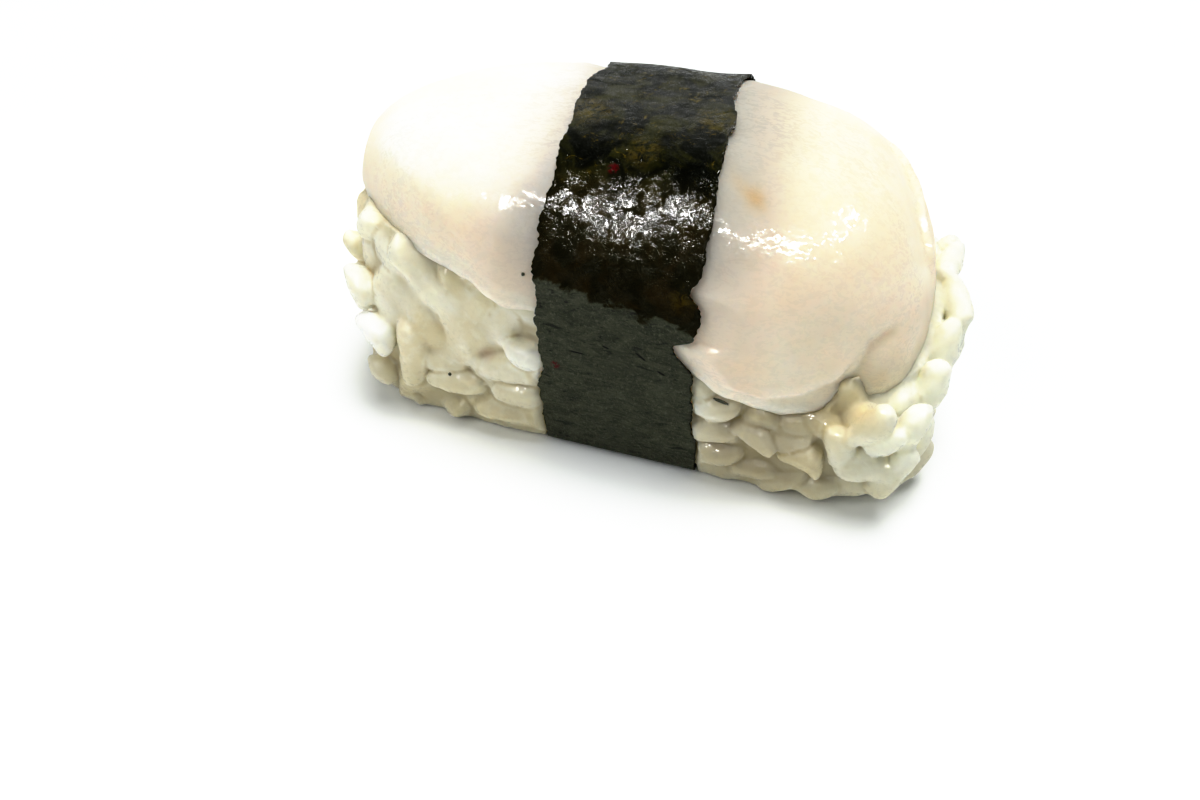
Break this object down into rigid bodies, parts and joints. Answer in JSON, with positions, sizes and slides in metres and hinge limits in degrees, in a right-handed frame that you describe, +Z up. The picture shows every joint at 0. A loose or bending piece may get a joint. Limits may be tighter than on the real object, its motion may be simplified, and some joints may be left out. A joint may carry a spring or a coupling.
{
  "type": "scallop nigiri",
  "caption": "Block of pressed rice under a draped slice of raw scallop, with a band of dried seaweed wrapped round both.",
  "frame": {"origin": "middle of the bounding box at its bottom, on the surface that the nigiri rests on", "axes": "+X along the block, to the right in the picture; +Y to the back, away from the camera; +Z up"},
  "size_m": [0.0594, 0.0312, 0.0301],
  "materials": {
    "rice": "moist and sticky, slightly see-through",
    "scallop": "wet, cream, slightly see-through",
    "nori": "fibrous dark green with a broken sheen"
  },
  "bodies": {
    "root": {"rice": "rice", "scallop": "scallop", "nori": "nori"}
  },
  "joints": []
}
